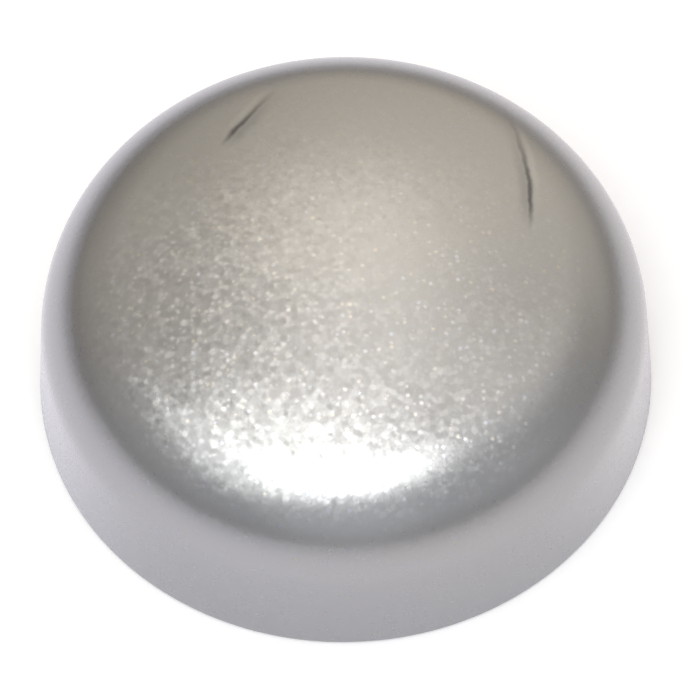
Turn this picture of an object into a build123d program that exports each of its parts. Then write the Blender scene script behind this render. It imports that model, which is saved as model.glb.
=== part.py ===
from build123d import *
from math import cos, radians, tan
import os

# Hex bolt cover: one plastic moulding that presses over a hex head and hides it and its washer.
# Millimetres. Z runs up the bolt's axis, and Z = 0 is the plane that the rim rests on.

# The hex head and the washer that the cover goes over.
head_across_flats = 19.0
head_height = 7.5
washer_thickness = 2.5

# Clearances: at each flat of the head, over the middle of its top, and over the washer.
head_side_clearance = 0.1
head_top_clearance = 1.5
washer_top_clearance = 0.3

# Outside of the dome: a drafted skirt, a large round shoulder and a gently domed crown.
rim_radius = 17.0
skirt_draft = 5.0
shoulder_radius = 6.6
crown_radius = 40.5

# Skin: its wall, the bevel inside its shoulder, and the one on both edges of its rim.
wall = 1.5
core_bevel = 1.9
rim_bevel = 0.25

# Hex collar that locates the head, moulded down from the underside of the crown.
collar_wall = 1.2
collar_lead_in = 0.5
core_draft = 0.5

# Grip ribs: a slim half-round up each flat of the socket, which the head presses back.
grip_rib_radius = 0.6
grip_rib_height = 0.25
grip_rib_setback = 0.6

# Gussets that tie the collar's corners to the skirt.
gusset_thickness = 1.0
gusset_setback = 1.2

# Sizes that follow from the values above.
sides = 6  # of the hexagon
cover_height = washer_thickness + head_height + head_top_clearance + wall
collar_mouth = washer_thickness + washer_top_clearance
socket_apothem = head_across_flats / 2 + head_side_clearance
socket_corner = socket_apothem / cos(radians(180 / sides))

# Alignment of a round solid that stands on its base.
STANDING = (Align.CENTER, Align.CENTER, Align.MIN)


def dome_sizes(inset):
    """Rim radius, height and crown radius of a dome that lies inset inside the cover's outside."""
    return rim_radius - inset / cos(radians(skirt_draft)), cover_height - inset, crown_radius - inset


def round_dome(inset):
    """Solid dome that lies inset inside the outside, its skirt, shoulder and crown all tangent."""
    foot, top, crown = dome_sizes(inset)
    skirt_top = foot - top * tan(radians(skirt_draft))
    skirt = make_face(Polyline((0, 0), (foot, 0), (skirt_top, top), (0, top), close=True))
    section = skirt & (Pos(0, top - crown) * Circle(crown))
    shoulder = section.vertices().sort_by(Axis.X)[-2]
    section = fillet(shoulder, shoulder_radius - inset)
    return revolve(Plane.XZ * section, Axis.Z)


def hollow():
    """Space inside the skin: drafted walls and a bevelled shoulder under a domed ceiling."""
    foot, top, crown = dome_sizes(wall)
    walls = Cone(foot, foot - top * tan(radians(skirt_draft)), top, align=STANDING)
    ball = Pos(0, 0, top - crown) * Rot(90, 0, 0) * Sphere(crown)  # its poles clear of the ceiling
    space = walls & ball
    return chamfer(space.edges().sort_by(Axis.Z)[-1], core_bevel)


def skin():
    """Round dome, hollowed out from below, with both edges of its rim bevelled."""
    shell = round_dome(0) - hollow()
    return chamfer(shell.faces().sort_by(Axis.Z)[0].edges(), rim_bevel)


def collar():
    """Hex tube with two flats across Y, from its mouth just above the washer to the crown."""
    depth = cover_height - collar_mouth
    outside = RegularPolygon(socket_apothem + collar_wall, sides, major_radius=False)
    tube = extrude(outside, depth)
    tube = draft(tube.faces().filter_by(Axis.Z, reverse=True), Plane.XY, -core_draft)
    tube -= extrude(RegularPolygon(socket_apothem, sides, major_radius=False), depth)
    mouth = tube.faces().sort_by(Axis.Z)[0]
    return Pos(0, 0, collar_mouth) * chamfer(mouth.inner_wires()[0].edges(), collar_lead_in)


def grip_ribs():
    """Half-round ribs up the middle of each flat, sunk in the collar but for their height."""
    start = collar_mouth + collar_lead_in + grip_rib_setback
    rib = Cylinder(grip_rib_radius, cover_height - start, align=STANDING)
    rib = chamfer(rib.edges().group_by(Axis.Z)[0], grip_rib_height)
    rib_axis = socket_apothem + grip_rib_radius - grip_rib_height
    return Pos(0, 0, start) * PolarLocations(rib_axis, sides, 180 / sides) * rib


def gussets():
    """Radial webs from each corner of the collar out into the skirt."""
    start = collar_mouth + gusset_setback
    inner_end = socket_corner + collar_wall / 2
    web = Rectangle(rim_radius - inner_end, gusset_thickness, align=(Align.MIN, Align.CENTER))
    web = extrude(web, cover_height - start)
    web = draft(web.faces().filter_by(Axis.Y), Plane.XY, -core_draft)
    return Pos(0, 0, start) * PolarLocations(inner_end, sides) * web


def bolt_cover():
    """The whole moulding. What the core forms inside ends halfway through the skin it joins."""
    core = collar() + grip_ribs() + gussets()
    return skin() + (core & round_dome(wall / 2))


os.makedirs("parts", exist_ok=True)
export_step(bolt_cover(), "parts/bolt_cover.step")
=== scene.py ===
from math import atan2, cos, pi, radians, sin, sqrt, tan

import bpy
from mathutils import Matrix, Vector


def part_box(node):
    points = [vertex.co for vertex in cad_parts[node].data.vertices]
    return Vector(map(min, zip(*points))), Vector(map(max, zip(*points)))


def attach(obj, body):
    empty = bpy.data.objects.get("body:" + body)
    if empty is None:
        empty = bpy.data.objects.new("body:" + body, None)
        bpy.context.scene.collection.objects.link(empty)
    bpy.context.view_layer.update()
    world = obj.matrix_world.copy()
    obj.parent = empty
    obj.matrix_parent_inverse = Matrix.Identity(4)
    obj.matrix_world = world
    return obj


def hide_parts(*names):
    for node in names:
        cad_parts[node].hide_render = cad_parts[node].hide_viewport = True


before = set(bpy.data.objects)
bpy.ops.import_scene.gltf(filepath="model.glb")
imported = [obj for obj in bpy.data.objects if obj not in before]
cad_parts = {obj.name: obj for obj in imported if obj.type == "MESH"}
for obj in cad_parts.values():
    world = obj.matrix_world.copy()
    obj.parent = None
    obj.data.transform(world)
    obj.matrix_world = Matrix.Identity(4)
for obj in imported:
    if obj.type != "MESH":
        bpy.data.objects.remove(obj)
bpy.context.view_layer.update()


# --- Moulding: its shape -----------------------------------------------------------------------
# One injection moulding in grey plastic: a domed skin of even wall, open below. Inside, the core
# forms a hex collar for the bolt's head, a slim grip rib up each of its flats, and a gusset from
# each of its corners to the skirt. Skin and ribs are turned from half outlines, in metres.

mm = 0.001
top_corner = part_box("bolt_cover")[1]
cover_height = top_corner.z
skirt_draft = radians(5.0)
rim_round = 0.25 * mm
rim_radius = top_corner.x + rim_round * tan(skirt_draft)
shoulder_radius = 6.6 * mm
crown_radius = 40.5 * mm
crown_centre = cover_height - crown_radius
wall = 1.5 * mm
core_bevel = 1.9 * mm

# Steps along each stretch of the outlines, and round one turn of the skin and of a rib.
crown_steps, shoulder_steps, skirt_steps, edge_steps = 16, 26, 8, 5
wall_steps, ceiling_steps = 6, 20
skin_turn_steps, rib_turn_steps = 256, 24


def arc(centre, radius, start, end, steps):
    """Points along an arc in the outline's plane, both of its ends included."""
    turns = [start + (end - start) * i / steps for i in range(steps + 1)]
    return [(centre[0] + radius * cos(t), centre[1] + radius * sin(t)) for t in turns]


def straight(start, end, steps):
    """Points along a straight stretch of the outline, its end included but not its start."""
    (x, z), (to_x, to_z) = start, end
    return [
        (x + (to_x - x) * i / steps, z + (to_z - z) * i / steps) for i in range(1, steps + 1)
    ]


def up_the_draft(foot, radius):
    """Where a drafted line from this foot meets a ball of this radius round the crown's centre."""
    lean = foot * sin(skirt_draft) + crown_centre * cos(skirt_draft)
    rise = lean + sqrt(lean**2 - foot**2 - crown_centre**2 + radius**2)
    return foot - rise * sin(skirt_draft), rise * cos(skirt_draft)


def dome_outline(inset):
    """Crown and shoulder of a dome that lies inset inside the outside, and its skirt's foot."""
    foot = rim_radius - inset / cos(skirt_draft)
    shoulder, crown = shoulder_radius - inset, crown_radius - inset
    # The shoulder's centre goes up a drafted line until the shoulder touches the crown.
    centre = up_the_draft(foot - shoulder / cos(skirt_draft), crown - shoulder)
    touch = atan2(centre[1] - crown_centre, centre[0])
    points = arc((0, crown_centre), crown, pi / 2, touch, crown_steps)
    return points + arc(centre, shoulder, touch, skirt_draft, shoulder_steps)[1:], foot


def skin_outline():
    """Half outline of the skin, and how many of its points the paint covers."""
    dome, foot = dome_outline(0)
    edge = foot - rim_round * (1 + sin(skirt_draft)) / cos(skirt_draft)
    outer_edge = arc((edge, rim_round), rim_round, skirt_draft, -pi / 2, edge_steps)
    skirt = straight(dome[-1], outer_edge[0], skirt_steps)[:-1]
    painted = dome + skirt + outer_edge
    inner_foot = foot - wall / cos(skirt_draft)
    edge = inner_foot + rim_round * (1 - sin(skirt_draft)) / cos(skirt_draft)
    inner_edge = arc((edge, rim_round), rim_round, -pi / 2, skirt_draft - pi, edge_steps)
    # The drafted inner wall meets the ceiling at a corner, which the core bevels.
    ceiling_radius = crown_radius - wall
    corner = up_the_draft(inner_foot, ceiling_radius)
    below = (corner[0] + core_bevel * sin(skirt_draft), corner[1] - core_bevel * cos(skirt_draft))
    inner_wall = straight(inner_edge[-1], below, wall_steps)
    start = atan2(corner[1] - crown_centre, corner[0]) + core_bevel / ceiling_radius
    ceiling = arc((0, crown_centre), ceiling_radius, start, pi / 2, ceiling_steps)
    return painted + inner_edge + inner_wall + ceiling, len(painted)


# The hex collar, its grip ribs, and the gussets at its corners, two of which lie on X.
sides = 6
collar_mouth = 2.8 * mm
socket_apothem = 9.6 * mm
collar_wall = 1.2 * mm
lead_in = 0.5 * mm
core_draft = radians(0.5)
rib_radius = 0.6 * mm
rib_height = 0.25 * mm
rib_foot = 3.9 * mm
gusset_foot = 4.0 * mm
gusset_thickness = 1.0 * mm
core_sizes = {
    "Cover Height": cover_height,
    "Collar Mouth": collar_mouth,
    "Socket Apothem": socket_apothem,
    "Collar Wall": collar_wall,
    "Lead In": lead_in,
    "Gusset Foot": gusset_foot,
    "Gusset Thickness": gusset_thickness,
    "Gusset Length": rim_radius - socket_apothem / cos(pi / sides) - collar_wall / 2,
    "Rib Radius": rib_radius,
    "Rib Height": rib_height,
    "Draft Slope": tan(core_draft),
}
bore_depth = 20.0 * mm  # from the rim's plane to well past the crown
merge_distance = 0.001 * mm
crease_angle = radians(24)

# Half outlines of the skin, of the middle of its wall, where the core's features end, and of a
# rib, and the marks that tell their points apart.
skin_half, painted_points = skin_outline()
middle_half, middle_foot = dome_outline(wall / 2)
middle_half += [(middle_foot, 0), (0, 0)]
rib_half = [(0, cover_height), (rib_radius, cover_height), (rib_radius, rib_foot + rib_height)]
rib_half += [(rib_radius - rib_height, rib_foot), (0, rib_foot)]
skin_mark, middle_mark, rib_mark = 0, 1, 2


def outline_object(*outlines):
    """The half outlines as loose points, each marked with its place in the list."""
    mesh = bpy.data.meshes.new("moulding_outlines")
    points = [(x, 0, z) for outline in outlines for x, z in outline]
    mesh.from_pydata(points, [], [])
    marks = [i for i, outline in enumerate(outlines) for point in outline]
    mesh.attributes.new("outline", "INT", "POINT").data.foreach_set("value", marks)
    made = bpy.data.objects.new("cover_moulding", mesh)
    bpy.context.scene.collection.objects.link(made)
    return made


def node(tree, kind, sockets=(), **settings):
    """Adds a node to a tree. A socket takes a plain value, or another node's output."""
    made = tree.nodes.new(kind)
    for name, value in settings.items():
        setattr(made, name, value)
    for key, value in dict(sockets).items():
        if isinstance(value, bpy.types.NodeSocket):
            tree.links.new(value, made.inputs[key])
        else:
            made.inputs[key].default_value = value
    return made


def reckon(tree, operation, *values):
    """Output of a Math node that works on these values."""
    return node(tree, "ShaderNodeMath", enumerate(values), operation=operation).outputs[0]


def parts(tree, value):
    """X, Y and Z of a vector."""
    return node(tree, "ShaderNodeSeparateXYZ", {0: value}).outputs


def joined(tree, **values):
    """Vector of these values for X, Y and Z, with zero for any that is left out."""
    return node(tree, "ShaderNodeCombineXYZ", values).outputs[0]


def moved(tree, geometry, offset):
    """The geometry, each point of it moved by its own offset."""
    sockets = {"Geometry": geometry, "Offset": offset}
    return node(tree, "GeometryNodeSetPosition", sockets).outputs[0]


def node_tree(name, kind, inputs, outputs):
    """A new tree or group with these named sockets, and the node that gives out its inputs."""
    tree = bpy.data.node_groups.new(name, kind)
    for in_out, sockets in (("INPUT", inputs), ("OUTPUT", outputs)):
        for label, socket_type in sockets.items():
            tree.interface.new_socket(label, in_out=in_out, socket_type="NodeSocket" + socket_type)
    return tree, tree.nodes.new("NodeGroupInput").outputs


def turning_group():
    """Group that turns a half outline round Z into a closed solid, and marks the faces of its
    first points as painted. The points run from the axis over the top, down the outside, and
    back to the axis."""
    sockets = {"Outline": "Geometry", "Segments": "Int", "Painted Points": "Int"}
    tree, given = node_tree("turn_outline", "GeometryNodeTree", sockets, {"Solid": "Geometry"})
    size = node(tree, "GeometryNodeAttributeDomainSize", {"Geometry": given["Outline"]})
    columns = reckon(tree, "ADD", given["Segments"], 1)
    sockets = {"Vertices X": size.outputs["Point Count"], "Vertices Y": columns}
    grid = node(tree, "GeometryNodeMeshGrid", sockets).outputs["Mesh"]
    index = node(tree, "GeometryNodeInputIndex").outputs[0]
    painted_faces = reckon(tree, "MULTIPLY", given["Painted Points"], given["Segments"])
    sockets = {"A": index, "B": painted_faces}
    painted = node(tree, "FunctionNodeCompare", sockets, operation="LESS_THAN").outputs[0]
    sockets = {"Geometry": grid, "Name": "painted", "Value": painted}
    settings = {"data_type": "BOOLEAN", "domain": "FACE"}
    marked = node(tree, "GeometryNodeStoreNamedAttribute", sockets, **settings).outputs[0]
    # Each row of the grid is one point of the outline, and each column one step of the turn.
    row = reckon(tree, "FLOOR", reckon(tree, "DIVIDE", index, columns))
    column = reckon(tree, "SUBTRACT", index, reckon(tree, "MULTIPLY", row, columns))
    turn = reckon(tree, "DIVIDE", reckon(tree, "MULTIPLY", column, 2 * pi), given["Segments"])
    place = node(tree, "GeometryNodeInputPosition").outputs[0]
    sockets = {"Geometry": given["Outline"], "Value": place, "Index": row}
    point = node(tree, "GeometryNodeSampleIndex", sockets, data_type="FLOAT_VECTOR").outputs[0]
    out = parts(tree, point)["X"]
    around = joined(
        tree,
        X=reckon(tree, "MULTIPLY", out, reckon(tree, "COSINE", turn)),
        Y=reckon(tree, "MULTIPLY", out, reckon(tree, "SINE", turn)),
        Z=parts(tree, point)["Z"],
    )
    sockets = {"Geometry": marked, "Position": around}
    wrapped = node(tree, "GeometryNodeSetPosition", sockets).outputs[0]
    sockets = {"Geometry": wrapped, "Distance": merge_distance}
    closed = node(tree, "GeometryNodeMergeByDistance", sockets).outputs[0]
    node(tree, "NodeGroupOutput", {"Solid": closed})
    return tree


turn_outline = turning_group()


def turned(tree, given, mark, segments, painted=0):
    """The solid that the half outline with this mark gives."""
    marks = node(tree, "GeometryNodeInputNamedAttribute", {"Name": "outline"}, data_type="INT")
    sockets = {"A": marks.outputs[0], "B": mark}
    chosen = node(tree, "FunctionNodeCompare", sockets, operation="EQUAL").outputs[0]
    sockets = {"Geometry": given["Outlines"], "Selection": chosen}
    outline = node(tree, "GeometryNodeSeparateGeometry", sockets).outputs[0]
    sockets = {"Outline": outline, "Segments": segments, "Painted Points": painted}
    return node(tree, "GeometryNodeGroup", node_tree=turn_outline, sockets=sockets).outputs[0]


def boolean(tree, operation, first, *others):
    """Union, difference or intersection of closed meshes."""
    made = node(tree, "GeometryNodeMeshBoolean", operation=operation, solver="MANIFOLD")
    if operation == "DIFFERENCE":
        tree.links.new(first, made.inputs["Mesh 1"])
    else:
        others = (first, *others)
    for other in others:
        tree.links.new(other, made.inputs["Mesh 2"])
    return made.outputs["Mesh"]


def hex_prism(tree, foot, across, top_across, depth):
    """Hex solid with corners on X, from its half widths across flats at the foot and the top."""
    to_corner = 1 / cos(pi / sides)
    sockets = {
        "Vertices": sides,
        "Radius Bottom": reckon(tree, "MULTIPLY", across, to_corner),
        "Radius Top": reckon(tree, "MULTIPLY", top_across, to_corner),
        "Depth": depth,
    }
    solid = node(tree, "GeometryNodeMeshCone", sockets).outputs["Mesh"]
    return moved(tree, solid, joined(tree, Z=foot))


def six_around(tree, geometry, start):
    """The geometry six times round Z, the first of them turned by the start angle."""
    points = node(tree, "GeometryNodePoints", {"Count": sides}).outputs[0]
    index = node(tree, "GeometryNodeInputIndex").outputs[0]
    angle = reckon(tree, "ADD", reckon(tree, "MULTIPLY", index, 2 * pi / sides), start)
    sockets = {"Points": points, "Instance": geometry, "Rotation": joined(tree, Z=angle)}
    copies = node(tree, "GeometryNodeInstanceOnPoints", sockets).outputs[0]
    return node(tree, "GeometryNodeRealizeInstances", {0: copies}).outputs[0]


def collar(tree, given):
    """Drafted hex tube from its mouth to the crown, with a lead-in at the mouth."""
    mouth, apothem = given["Collar Mouth"], given["Socket Apothem"]
    depth = reckon(tree, "SUBTRACT", given["Cover Height"], mouth)
    across = reckon(tree, "ADD", apothem, given["Collar Wall"])
    top_across = reckon(tree, "MULTIPLY_ADD", depth, given["Draft Slope"], across)
    tube = hex_prism(tree, mouth, across, top_across, depth)
    bore = hex_prism(tree, 0.0, apothem, apothem, bore_depth)
    # The lead-in slopes at 45 degrees, from as far below the mouth as it ends above it.
    below = reckon(tree, "SUBTRACT", mouth, given["Lead In"])
    wide = reckon(tree, "MULTIPLY_ADD", given["Lead In"], 2, apothem)
    funnel_depth = reckon(tree, "MULTIPLY", given["Lead In"], 2)
    funnel = hex_prism(tree, below, wide, apothem, funnel_depth)
    return boolean(tree, "DIFFERENCE", tube, boolean(tree, "UNION", bore, funnel))


def grip_ribs(tree, given):
    """A slim rib up the middle of each flat, sunk in the collar but for its height."""
    out = reckon(tree, "ADD", given["Socket Apothem"], given["Rib Radius"])
    out = reckon(tree, "SUBTRACT", out, given["Rib Height"])
    one = moved(tree, turned(tree, given, rib_mark, rib_turn_steps), joined(tree, X=out))
    return six_around(tree, one, pi / sides)


def gussets(tree, given):
    """A thin web out from each corner of the collar, a little thicker towards the crown."""
    reach, thickness = given["Gusset Length"], given["Gusset Thickness"]
    height = reckon(tree, "SUBTRACT", given["Cover Height"], given["Gusset Foot"])
    size = joined(tree, X=reach, Y=thickness, Z=height)
    block = node(tree, "GeometryNodeMeshCube", {"Size": size}).outputs[0]
    xyz = parts(tree, node(tree, "GeometryNodeInputPosition").outputs[0])
    corner = reckon(tree, "DIVIDE", given["Socket Apothem"], cos(pi / sides))
    inner_end = reckon(tree, "MULTIPLY_ADD", given["Collar Wall"], 0.5, corner)
    above_foot = reckon(tree, "MULTIPLY_ADD", height, 0.5, xyz["Z"])
    thicker = reckon(tree, "MULTIPLY", above_foot, given["Draft Slope"])
    offset = joined(
        tree,
        X=reckon(tree, "MULTIPLY_ADD", reach, 0.5, inner_end),
        Y=reckon(tree, "MULTIPLY", reckon(tree, "SIGN", xyz["Y"]), thicker),
        Z=reckon(tree, "MULTIPLY_ADD", height, 0.5, given["Gusset Foot"]),
    )
    return six_around(tree, moved(tree, block, offset), 0.0)


def moulding_tree():
    """The whole moulding, from its three half outlines and the sizes of its core."""
    inputs = {"Outlines": "Geometry", "Segments": "Int", "Painted Points": "Int"}
    inputs |= {size: "Float" for size in core_sizes}
    inputs |= {"Bare Plastic": "Material", "Paint": "Material"}
    tree, given = node_tree("moulding", "GeometryNodeTree", inputs, {"Moulding": "Geometry"})

    # The core's features end halfway through the skin that they join.
    core = boolean(tree, "UNION", collar(tree, given), grip_ribs(tree, given), gussets(tree, given))
    halfway = turned(tree, given, middle_mark, given["Segments"])
    core = boolean(tree, "INTERSECT", core, halfway)
    shell = turned(tree, given, skin_mark, given["Segments"], given["Painted Points"])
    whole = boolean(tree, "UNION", core, shell)

    # Smooth all over, but for its creases.
    whole = node(tree, "GeometryNodeRealizeInstances", {0: whole}).outputs[0]
    smooth = node(tree, "GeometryNodeSetShadeSmooth", {"Geometry": whole}).outputs[0]
    sockets = {"A": node(tree, "GeometryNodeInputMeshEdgeAngle").outputs[0], "B": crease_angle}
    crease = node(tree, "FunctionNodeCompare", sockets, operation="GREATER_THAN").outputs[0]
    sockets = {"Geometry": smooth, "Selection": crease, "Shade Smooth": False}
    creased = node(tree, "GeometryNodeSetShadeSmooth", sockets, domain="EDGE").outputs[0]

    sockets = {"Geometry": creased, "Material": given["Bare Plastic"]}
    bare = node(tree, "GeometryNodeSetMaterial", sockets).outputs[0]
    kind = "GeometryNodeInputNamedAttribute"
    painted = node(tree, kind, {"Name": "painted"}, data_type="BOOLEAN").outputs[0]
    sockets = {"Geometry": bare, "Selection": painted, "Material": given["Paint"]}
    sprayed = node(tree, "GeometryNodeSetMaterial", sockets).outputs[0]
    node(tree, "NodeGroupOutput", {"Moulding": sprayed})
    return tree


def make_plain(piece, tree, values):
    """Runs the tree on the piece with these inputs, and leaves its result as a plain mesh."""
    modifier = piece.modifiers.new("made", "NODES")
    modifier.node_group = tree
    for item in tree.interface.items_tree:
        if item.in_out == "INPUT" and item.name in values:
            modifier[item.identifier] = values[item.name]
    evaluated = piece.evaluated_get(bpy.context.evaluated_depsgraph_get())
    mesh = bpy.data.meshes.new_from_object(evaluated)
    piece.modifiers.remove(modifier)
    piece.data = mesh
    return piece


# --- Moulding: its silver paint ----------------------------------------------------------------
# Sprayed on outside and over the rim's edge: fine and coarse aluminium flakes in a silver base,
# under a gloss clear coat. They lie nearly flat, so they glint round a highlight, and the paint is
# soft and even away from it. Part of that glint and sparkle is painted into the colour as painted
# glints, strongest where the surface is level and faces the eye. Two narrow painted reflections of
# edges, dark lines with lighter bands, cross the rear of the crown.

silver = (0.51, 0.512, 0.5)
base_brightness = 0.98
coat_roughness, coat_ior = 0.1, 1.5

# The fine flakes that fill the base, the coarse ones over them and the few that glint: how large
# they are, how far they lean, and how rare a far lean is among them.
grain_size, flake_size, glint_size = 0.1 * mm, 0.29 * mm, 0.36 * mm
grain_lean, flake_lean, glint_lean = 0.06, 0.13, 0.05
grain_rarity, flake_rarity = 1.0, 0.6

# Random leans lie round this middle, and a far one is this long.
random_middle, far_lean = (0.5, 0.5, 0.5), 0.7

# How much brightness a flake's own tone and a glint add, the glint's as a painted glint, what is
# taken off so that the mean stays, and how the warmest glint's tint shifts the silver.
flake_gain, flake_mean, glint_gain = 0.75, 0.25, 0.85
glint_tint = (0.06, 0.0, -0.12)

# Each range says from where to where, and what it goes from and to between them: 0 and 1, unless
# it says otherwise.
glint_spot = (0.1, 0.48, 1.0, 0.0)  # by cell widths from a glint's middle
glint_chance = (0.6, 0.9)  # by a random number, so that few cells hold one
# The next four ranges set where the painted sparkle in the colour is strongest; the first two also
# set how far the coarse flakes and glints lean.
flakes_where_level = (0.6, 0.97, 0.08, 1.0)  # by how far the surface faces up
flakes_at_a_slant = (0.16, 0.36, 1.0, 0.12)  # by how far it is seen edge on
shine_at_a_slant = (0.05, 0.19, 1.0, 0.3)
shine_in_clouds = (0.35, 0.65, 0.55, 1.1)  # by a soft noise of the next line's scale per mm
cloud_scale = 0.1
roughness_of_glints = (0.0, 1.0, 0.28, 0.23)

# The painted reflections of two edges in the clear coat, one left of the middle and one right, in
# millimetres from the axis and radians round the arc's centre, and how much darker and lighter
# than the paint they are at most.
straight_painted_reflection = {"Centre": (41.58, -26.11, 0), "Radius": 58.5, "Width": 0.24}
straight_painted_reflection |= {"From Angle": 2.535, "To Angle": 2.435}
bowed_painted_reflection = {"Centre": (-11.2, 3.6, 0), "Radius": 21.4, "Width": 0.2}
bowed_painted_reflection |= {"From Angle": -0.12, "To Angle": 0.34}
painted_reflection_darkness, painted_reflection_light = 0.7, 0.12
painted_reflection_wander, painted_reflection_wander_scale = 0.3, 1.1

# Across a painted reflection, in its widths: the middle and half width of its dark line, of the
# darker band beside it and of its lighter band, and how strong each is.
painted_reflection_line, painted_reflection_dark_band, painted_reflection_light_band = (0.0, 1.2, 1.0), (-1.4, 2.6, 0.3), (1.9, 1.3, 1.0)
# Along it: where its dark part and its lighter band start, are full, begin to fade, and end.
painted_reflection_dark_reach, painted_reflection_light_reach = (0.0, 0.25, 0.3, 1.0), (0.1, 0.5, 0.6, 1.0)


def in_millimetres(tree):
    """Place on the piece, in millimetres."""
    place = node(tree, "ShaderNodeTexCoord").outputs["Object"]
    sockets = {"Vector": place, "Scale": (1 / mm,) * 3}
    return node(tree, "ShaderNodeMapping", sockets).outputs[0]


def vector(tree, operation, *values):
    """Output of a Vector Math node that works on these vectors."""
    return node(tree, "ShaderNodeVectorMath", enumerate(values), operation=operation).outputs[0]


def scaled(tree, value, scale):
    """The vector or colour, times a number."""
    return node(tree, "ShaderNodeVectorMath", {0: value, 3: scale}, operation="SCALE").outputs[0]


def length(tree, value):
    """Length of a vector."""
    return node(tree, "ShaderNodeVectorMath", {0: value}, operation="LENGTH").outputs["Value"]


def spread(tree, value, low, high, first=0.0, last=1.0, steps="SMOOTHSTEP"):
    """The value's place between low and high, from first to last, held outside that range."""
    sockets = {0: value, 1: low, 2: high, 3: first, 4: last}
    return node(tree, "ShaderNodeMapRange", sockets, interpolation_type=steps).outputs[0]


def noise(tree, place, scale, detail):
    """Soft noise at this place, from 0 to 1."""
    sockets = {"Vector": place, "Scale": scale, "Detail": detail}
    return node(tree, "ShaderNodeTexNoise", sockets).outputs["Fac"]


def placed(tree, group, sockets):
    """Outputs of a shader group, placed in a tree with these values."""
    return node(tree, "ShaderNodeGroup", node_tree=group, sockets=sockets).outputs


def tipped(tree, normal, lean, amount):
    """The normal, tipped by this much of a lean."""
    return vector(tree, "NORMALIZE", vector(tree, "ADD", normal, scaled(tree, lean, amount)))


def flake_group():
    """Group for one size of flakes that lie at random in a lacquer. Most lie almost flat, and a
    few lean far enough to catch a light that the surface round them misses."""
    inputs = {"Place": "Vector", "Normal": "Vector", "Flakes Per mm": "Float", "Lean": "Float"}
    inputs |= {"Rarity": "Float"}
    outputs = {"Normal": "Vector", "Shade": "Float"}
    tree, given = node_tree("metal_flakes", "ShaderNodeTree", inputs, outputs)
    sockets = {"Vector": given["Place"], "Scale": given["Flakes Per mm"], "Smoothness": 1.0}
    cells = node(tree, "ShaderNodeTexVoronoi", sockets, feature="SMOOTH_F1").outputs["Color"]
    lean = vector(tree, "SUBTRACT", cells, random_middle)
    steep = reckon(tree, "DIVIDE", length(tree, lean), far_lean)
    steep = reckon(tree, "POWER", steep, given["Rarity"])
    amount = reckon(tree, "MULTIPLY", steep, given["Lean"])
    normal = tipped(tree, given["Normal"], lean, amount)
    node(tree, "NodeGroupOutput", {"Normal": normal, "Shade": parts(tree, cells)["X"]})
    return tree


def glint_group():
    """Group for large flakes, one here and there, that lean more than the rest and flash, each
    with a tint of its own between warm and cool. Its glint mask also sets the painted glints that
    the paint adds to its colour."""
    inputs = {"Place": "Vector", "Normal": "Vector", "Glints Per mm": "Float", "Lean": "Float"}
    outputs = {"Normal": "Vector", "Glint": "Float", "Warmth": "Float"}
    tree, given = node_tree("glints", "ShaderNodeTree", inputs, outputs)
    sockets = {"Vector": given["Place"], "Scale": given["Glints Per mm"]}
    cells = node(tree, "ShaderNodeTexVoronoi", sockets).outputs
    spot = spread(tree, cells["Distance"], *glint_spot)
    random = parts(tree, cells["Color"])
    glint = reckon(tree, "MULTIPLY", spot, spread(tree, random["X"], *glint_chance))
    warmth = reckon(tree, "MULTIPLY", glint, reckon(tree, "SUBTRACT", random["Y"], 0.5))
    lean = vector(tree, "SUBTRACT", cells["Color"], random_middle)
    amount = reckon(tree, "MULTIPLY", length(tree, lean), spot)
    amount = reckon(tree, "MULTIPLY", amount, given["Lean"])
    normal = tipped(tree, given["Normal"], lean, amount)
    node(tree, "NodeGroupOutput", {"Normal": normal, "Glint": glint, "Warmth": warmth})
    return tree


def stripe(tree, across, middle, half_width, strength):
    """Soft stripe, from its strength in the middle to nothing at its edges."""
    away = reckon(tree, "ABSOLUTE", reckon(tree, "SUBTRACT", across, middle))
    return spread(tree, away, 0.0, half_width, strength, 0.0)


def come_and_go(tree, along, start, full, fading, end):
    """Strength along a line that comes in from its start, is full for a while, and fades out."""
    fade = spread(tree, along, fading, end, 1.0, 0.0)
    return reckon(tree, "MULTIPLY", spread(tree, along, start, full), fade)


def painted_reflection_group():
    """Group for a painted reflection of an edge along an arc in plan, darkest near the end it
    starts
    from: masks for a soft dark line with a fainter dark band on the inner side and a lighter band
    on the outer one, which the paint adds to its colour."""
    inputs = {"Place": "Vector", "Centre": "Vector", "Radius": "Float", "Width": "Float"}
    inputs |= {"From Angle": "Float", "To Angle": "Float"}
    tree, given = node_tree("painted_reflection", "ShaderNodeTree", inputs, {"Dark": "Float", "Light": "Float"})
    plan = vector(tree, "SUBTRACT", given["Place"], given["Centre"])
    plan = vector(tree, "MULTIPLY", plan, (1, 1, 0))
    angle = reckon(tree, "ARCTAN2", parts(tree, plan)["Y"], parts(tree, plan)["X"])
    along = spread(tree, angle, given["From Angle"], given["To Angle"], steps="LINEAR")
    wander = noise(tree, given["Place"], painted_reflection_wander_scale, 2.0)
    wander = reckon(tree, "MULTIPLY_ADD", wander, painted_reflection_wander, -painted_reflection_wander / 2)
    across = reckon(tree, "ADD", length(tree, plan), wander)
    across = reckon(tree, "SUBTRACT", across, given["Radius"])
    across = reckon(tree, "DIVIDE", across, given["Width"])
    line, dark_band = stripe(tree, across, *painted_reflection_line), stripe(tree, across, *painted_reflection_dark_band)
    dark = reckon(tree, "MAXIMUM", line, dark_band)
    dark = reckon(tree, "MULTIPLY", dark, come_and_go(tree, along, *painted_reflection_dark_reach))
    light = stripe(tree, across, *painted_reflection_light_band)
    light = reckon(tree, "MULTIPLY", light, come_and_go(tree, along, *painted_reflection_light_reach))
    node(tree, "NodeGroupOutput", {"Dark": dark, "Light": light})
    return tree


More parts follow.
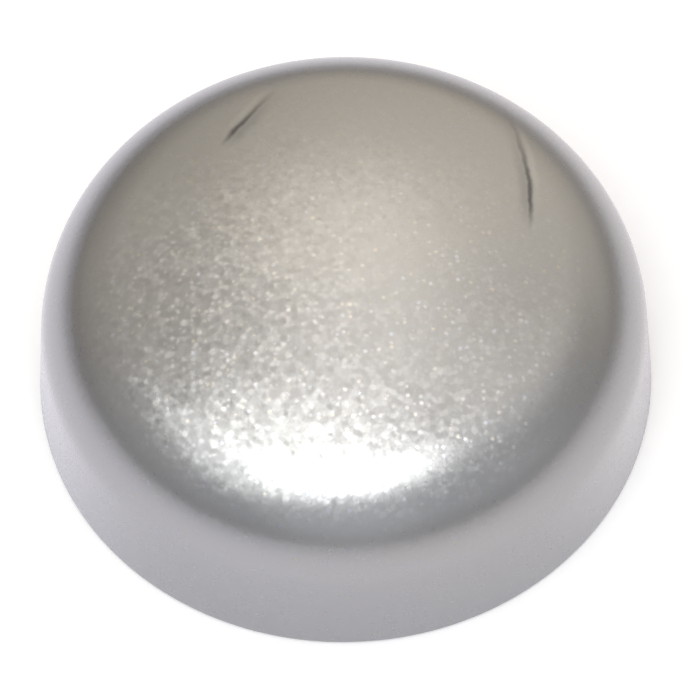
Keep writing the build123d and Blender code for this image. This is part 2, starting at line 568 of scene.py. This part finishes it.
def flake_paint():
    """Silver base of fine grain, coarse flakes and glints over it with painted sparkle and painted
    glints, two painted reflections, and a clear coat.
    """
    paint = bpy.data.materials.new("silver_flake_paint")
    paint.use_nodes = True
    tree = paint.node_tree
    surface = tree.nodes["Principled BSDF"]
    normal = node(tree, "ShaderNodeNewGeometry").outputs["Normal"]
    place = in_millimetres(tree)

    # Coarse flakes and glints lean most on the level crown and where the surface faces the eye, and
    # the same mask sets where the painted sparkle in the colour is strongest.
    edge_on = node(tree, "ShaderNodeLayerWeight", {"Blend": 0.5}).outputs["Facing"]
    lean_and_painted_sparkle = spread(tree, parts(tree, normal)["Z"], *flakes_where_level)
    lean_and_painted_sparkle = reckon(tree, "MULTIPLY", lean_and_painted_sparkle, spread(tree, edge_on, *flakes_at_a_slant))
    flakes = flake_group()
    sockets = {"Place": place, "Normal": normal, "Flakes Per mm": mm / grain_size}
    grain = placed(tree, flakes, sockets | {"Lean": grain_lean, "Rarity": grain_rarity})
    sockets = {"Place": place, "Normal": grain["Normal"], "Flakes Per mm": mm / flake_size}
    lean = reckon(tree, "MULTIPLY", lean_and_painted_sparkle, flake_lean)
    coarse = placed(tree, flakes, sockets | {"Lean": lean, "Rarity": flake_rarity})
    sockets = {"Place": place, "Normal": coarse["Normal"], "Glints Per mm": mm / glint_size}
    lean = reckon(tree, "MULTIPLY", lean_and_painted_sparkle, glint_lean)
    glints = placed(tree, glint_group(), sockets | {"Lean": lean})
    tree.links.new(glints["Normal"], surface.inputs["Normal"])

    # Each flake has a shade of its own, squared so that few are bright.
    shine = reckon(tree, "POWER", coarse["Shade"], 2.0)
    shine = reckon(tree, "MULTIPLY_ADD", shine, flake_gain, -flake_mean)
    # Painted glints and painted sparkle: each glint adds brightness to the colour, and tone and
    # glints show in soft patches and fade at a slant and away from the level crown.
    shine = reckon(tree, "MULTIPLY_ADD", glints["Glint"], glint_gain, shine)
    clouds = spread(tree, noise(tree, place, cloud_scale, 0.0), *shine_in_clouds)
    clouds = reckon(tree, "MULTIPLY", clouds, spread(tree, edge_on, *shine_at_a_slant))
    shine = reckon(tree, "MULTIPLY", shine, clouds)
    bright = reckon(tree, "MULTIPLY_ADD", shine, lean_and_painted_sparkle, base_brightness)
    # Two painted reflections of edges in the coat: dark lines with lighter bands, painted into the
    # base colour.
    painted_reflection = painted_reflection_group()
    for marks in (straight_painted_reflection, bowed_painted_reflection):
        reflection_marks = placed(tree, painted_reflection, {"Place": place} | marks)
        bright = reckon(tree, "MULTIPLY_ADD", reflection_marks["Dark"], -painted_reflection_darkness, bright)
        bright = reckon(tree, "MULTIPLY_ADD", reflection_marks["Light"], painted_reflection_light, bright)
    colour = vector(tree, "MULTIPLY_ADD", glints["Warmth"], glint_tint, silver)
    tree.links.new(scaled(tree, colour, bright), surface.inputs["Base Color"])

    rough = spread(tree, glints["Glint"], *roughness_of_glints, steps="LINEAR")
    tree.links.new(rough, surface.inputs["Roughness"])
    surface.inputs["Metallic"].default_value = 1.0
    surface.inputs["Coat Weight"].default_value = 1.0
    surface.inputs["Coat Roughness"].default_value = coat_roughness
    surface.inputs["Coat IOR"].default_value = coat_ior
    return paint


# --- Moulding: its bare plastic ----------------------------------------------------------------
# Nothing sprays the inside, so the moulded plastic shows there: dark grey, satin from the
# polished core, with a mist of silver overspray that fades a little way in from the rim.

plastic_grey = (0.045, 0.045, 0.047, 1)
plastic_satin = (0.3, 0.7, 0.36, 0.5)  # roughness, by a soft noise
satin_scale = 0.35
overspray_silver = (0.55, 0.54, 0.53, 1)
overspray_metal = 0.9
overspray_mist = (0.0, 2.2, 0.62, 0.0)  # how dense it is, by millimetres above the rim
speck_scale, speck_limit = 9.0, 0.8


def blend(tree, share, first, last):
    """Colour between two, by the share that the last has in it."""
    sockets = {"Factor": share, 6: first, 7: last}
    return node(tree, "ShaderNodeMix", sockets, data_type="RGBA").outputs[2]


def bare_plastic():
    """Satin grey plastic, with specks of silver near the rim."""
    plastic = bpy.data.materials.new("bare_grey_plastic")
    plastic.use_nodes = True
    tree = plastic.node_tree
    surface = tree.nodes["Principled BSDF"]
    place = in_millimetres(tree)
    mist = spread(tree, parts(tree, place)["Z"], *overspray_mist)
    dense = reckon(tree, "ADD", noise(tree, place, speck_scale, 2.0), mist)
    speck = reckon(tree, "GREATER_THAN", dense, speck_limit)
    colour = blend(tree, speck, plastic_grey, overspray_silver)
    tree.links.new(colour, surface.inputs["Base Color"])
    tree.links.new(reckon(tree, "MULTIPLY", speck, overspray_metal), surface.inputs["Metallic"])
    rough = spread(tree, noise(tree, place, satin_scale, 3.0), *plastic_satin)
    tree.links.new(rough, surface.inputs["Roughness"])
    return plastic


# --- Moulding: made ----------------------------------------------------------------------------
# The tree turns the outlines, joins core and skin, and gives the inside and the outside their
# finish. The one mesh that comes of it takes the place of the plain solid.

made_of = {"Bare Plastic": bare_plastic(), "Paint": flake_paint()}
turned_by = {"Segments": skin_turn_steps, "Painted Points": painted_points}
cover = make_plain(
    outline_object(skin_half, middle_half, rib_half),
    moulding_tree(),
    core_sizes | turned_by | made_of,
)
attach(cover, "root")
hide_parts("bolt_cover")


# --- Floor -------------------------------------------------------------------------------------
# A broad sheet of pale matt board that the cover stands on. From below it can be seen through,
# and so it lets light into the hollow that the cover hides.

floor_radius = 1.5
floor_sides = 64
floor_drop = 0.02 * mm  # under the rim, so that the two share no plane
board_roughness = 0.85
board_tone = (0.2, 0.8, 0.79, 0.81)  # by its fibres, a soft noise
fibre_scale = 0.9
board_glow = 0.25  # to the eye alone
white = (1, 1, 1, 1)

# What the cover's paint reflects of the board is painted dimmer and tinted, by the place on it in
# millimetres: painted shade falls off outwards, more behind the cover than in front, and along the
# cover's foot there is painted shade in front and painted light at its sides and rear. A painted
# tint of the light makes it bluer to the left.
dim_from, dim_to = 24.0, 90.0
dim_by_depth = (-25.0, 25.0, 0.78, 0.5)
foot_from, foot_to = 18.0, 24.0
foot_by_depth = (-17.0, -3.0, 0.9, 1.15)
tint_by_side = (-30.0, 30.0)
left_tint, right_tint = (0.96, 0.95, 1.04, 1), (0.95, 0.93, 0.97, 1)


def board_as_reflected(tree, place):
    """Colour that reflections see the board in, before its own tone: painted shade, light and tint.
    """
    xyz = parts(tree, place)
    away = length(tree, place)
    far = spread(tree, xyz["Y"], *dim_by_depth)
    # Painted shade at the cover's front foot, and painted light at its sides and rear.
    at_foot = spread(tree, xyz["Y"], *foot_by_depth)
    dimmed = reckon(
        tree,
        "MULTIPLY",
        spread(tree, away, dim_from, dim_to, 1.0, far),
        spread(tree, away, foot_from, foot_to, at_foot, 1.0),
    )
    tint = blend(tree, spread(tree, xyz["X"], *tint_by_side), left_tint, right_tint)
    return scaled(tree, tint, dimmed)


def pale_board():
    """Matt board, plain and pale to the eye, with painted shade in what reflections see of it,
    clear from below and under the cover.
    """
    board = bpy.data.materials.new("pale_board")
    board.use_nodes = True
    tree = board.node_tree
    surface = tree.nodes["Principled BSDF"]
    surface.inputs["Roughness"].default_value = board_roughness
    surface.inputs["Emission Color"].default_value = white
    place = in_millimetres(tree)
    seen = node(tree, "ShaderNodeLightPath").outputs["Is Camera Ray"]
    tree.links.new(reckon(tree, "MULTIPLY", seen, board_glow), surface.inputs["Emission Strength"])
    shade = blend(tree, seen, board_as_reflected(tree, place), white)
    tone = spread(tree, noise(tree, place, fibre_scale, 3.0), *board_tone)
    tree.links.new(scaled(tree, shade, tone), surface.inputs["Base Color"])
    below = node(tree, "ShaderNodeNewGeometry").outputs["Backfacing"]
    hidden = reckon(tree, "LESS_THAN", length(tree, place), (rim_radius - rim_round) / mm)
    clear = node(tree, "ShaderNodeBsdfTransparent").outputs[0]
    sockets = {0: reckon(tree, "MAXIMUM", below, hidden), 1: surface.outputs[0], 2: clear}
    mixed = node(tree, "ShaderNodeMixShader", sockets).outputs[0]
    tree.links.new(mixed, tree.nodes["Material Output"].inputs["Surface"])
    return board


def floor_board():
    """Round sheet just under the plane of the rim."""
    mesh = bpy.data.meshes.new("floor")
    turns = [2 * pi * i / floor_sides for i in range(floor_sides)]
    points = [(floor_radius * cos(t), floor_radius * sin(t), -floor_drop) for t in turns]
    mesh.from_pydata(points, [], [tuple(range(floor_sides))])
    mesh.materials.append(pale_board())
    made = bpy.data.objects.new("floor", mesh)
    bpy.context.scene.collection.objects.link(made)
    return made


floor_board()


# --- Light -------------------------------------------------------------------------------------
# A pale room, darker near the floor, cooler in front and warmer behind, with a soft band of light
# overhead from front to rear. Two oval softboxes hang high in front, the stronger one almost
# straight ahead and a weaker one to its left.

softbox_distance = 0.5
softbox_colour = (0.985, 1.0, 1.0)

# How high each hangs and how far to the side, in degrees, and its size, in metres.
strong_softbox = {"height": 66, "side": -6, "width": 0.41, "depth": 0.33, "watts": 0.73}
weak_softbox = {"height": 60, "side": -46, "width": 0.48, "depth": 0.48, "watts": 0.48}

# Each range says from where to where in one part of the light's direction, and what the light or
# its share goes from and to between them. X points right, Y to the rear and Z up.
walls_near_floor = (-0.02, 0.2, 0.2, 0.43)
walls_above = (0.2, 1.0, 0.0, 0.22)
brighter_to_right = 0.12
darker_rear_left = (-0.4, 0.4, 0.0, 0.1)
darkest_rear_left = (0.55, 0.95, 0.0, 0.55)
band_across, band_height = (0.05, 0.45, 0.58, 0.0), (0.55, 0.9)
from_below = (-0.3, -0.05, 0.9, 0.0)
rear_gain = (0.3, 0.9, 1.0, 1.22)
tint_to_rear = (-0.8, 1.0)
front_tint, rear_tint = (0.99, 1.0, 1.07, 1), (1.1, 1.0, 0.88, 1)
seen_room = (0.94, 0.94, 0.94, 1)
wall_patches = (
    # Toward the middle of each, the cosine at its edge, and how much it adds or takes away.
    ((0.85, 0.0, 0.52), 0.86, -0.15),
    ((0.54, 0.0, 0.84), 0.89, 0.18),
    ((0.0, -0.93, 0.37), 0.87, 0.13),
    ((0.2, 0.75, 0.63), 0.86, 0.05),
)


def room_light(tree, toward):
    """How much light comes from each direction."""
    xyz = parts(tree, toward)
    walls = reckon(
        tree,
        "ADD",
        spread(tree, xyz["Z"], *walls_near_floor, steps="LINEAR"),
        spread(tree, xyz["Z"], *walls_above, steps="LINEAR"),
    )
    side = reckon(tree, "MULTIPLY_ADD", xyz["X"], brighter_to_right, 1.0)
    rear = spread(tree, xyz["Y"], *darker_rear_left)
    rear = reckon(tree, "ADD", rear, spread(tree, xyz["Y"], *darkest_rear_left))
    to_left = reckon(tree, "MINIMUM", xyz["X"], 0.0)
    side = reckon(tree, "MULTIPLY_ADD", to_left, rear, side)
    band = spread(tree, reckon(tree, "ABSOLUTE", xyz["X"]), *band_across)
    band = reckon(tree, "MULTIPLY", band, spread(tree, xyz["Z"], *band_height))
    lit = reckon(tree, "MULTIPLY_ADD", walls, side, band)
    for to_patch, edge, strength in wall_patches:
        sockets = {0: toward, 1: to_patch}
        facing = node(tree, "ShaderNodeVectorMath", sockets, operation="DOT_PRODUCT")
        patch = spread(tree, facing.outputs["Value"], edge, 1.0, 0.0, strength)
        lit = reckon(tree, "ADD", lit, patch)
    lit = reckon(tree, "ADD", lit, spread(tree, xyz["Z"], *from_below))
    return reckon(tree, "MULTIPLY", lit, spread(tree, xyz["Y"], *rear_gain))


def room():
    """The room, which lights by direction and is plain and pale to the eye."""
    world = bpy.data.worlds.new("pale_room")
    bpy.context.scene.world = world
    world.use_nodes = True
    tree = world.node_tree
    sky = tree.nodes["Background"]
    toward = node(tree, "ShaderNodeTexCoord").outputs["Generated"]
    seen = node(tree, "ShaderNodeLightPath").outputs["Is Camera Ray"]
    to_rear = spread(tree, parts(tree, toward)["Y"], *tint_to_rear)
    colour = blend(tree, seen, blend(tree, to_rear, front_tint, rear_tint), seen_room)
    tree.links.new(colour, sky.inputs["Color"])
    sockets = {0: seen, 2: room_light(tree, toward), 3: 1.0}
    strength = node(tree, "ShaderNodeMix", sockets).outputs[0]
    tree.links.new(strength, sky.inputs["Strength"])


def softbox(height, side, width, depth, watts):
    """Oval softbox that faces the cover, from its two angles in degrees."""
    light = bpy.data.lights.new("softbox", "AREA")
    light.shape = "ELLIPSE"
    light.size = width
    light.size_y = depth
    light.energy = watts
    light.color = softbox_colour
    made = bpy.data.objects.new("softbox", light)
    up, round_z = radians(height), radians(side)
    toward = Vector((sin(round_z) * cos(up), -cos(round_z) * cos(up), sin(up)))
    made.location = toward * softbox_distance
    made.rotation_mode = "QUATERNION"
    made.rotation_quaternion = toward.to_track_quat("Z", "Y")
    bpy.context.scene.collection.objects.link(made)


room()
softbox(**strong_softbox)
softbox(**weak_softbox)
bpy.context.scene.view_settings.view_transform = "Standard"


# --- Camera ------------------------------------------------------------------------------------
# Close above the front of the cover with a long lens. It is turned a little clockwise about its
# own line of sight, and aims a little aside, so that the cover stands where it should in view.

camera_height = radians(57.83)
camera_distance = 13 * rim_radius
camera_turn = radians(1.73)
lens = 208.2
nearest_seen = 0.01
sight = Vector((0, 0, 0.3 * rim_radius))
aside, above = 0.019 * rim_radius, 0.0834 * rim_radius


def camera():
    """Camera with its own turn about its line of sight."""
    back = Vector((0, -cos(camera_height), sin(camera_height)))
    place = sight + back * camera_distance
    right, up = Vector((1, 0, 0)), back.cross((1, 0, 0))
    right_turned = right * cos(camera_turn) - up * sin(camera_turn)
    up_turned = right * sin(camera_turn) + up * cos(camera_turn)
    aim = sight + right_turned * aside - up_turned * above
    back = (place - aim).normalized()
    right = (right_turned - back * right_turned.dot(back)).normalized()
    up = back.cross(right)
    made = bpy.data.objects.new("camera", bpy.data.cameras.new("camera"))
    made.data.lens = lens
    made.data.clip_start = nearest_seen
    made.matrix_world = Matrix.Translation(place) @ Matrix((right, up, back)).transposed().to_4x4()
    bpy.context.scene.collection.objects.link(made)
    bpy.context.scene.camera = made


camera()
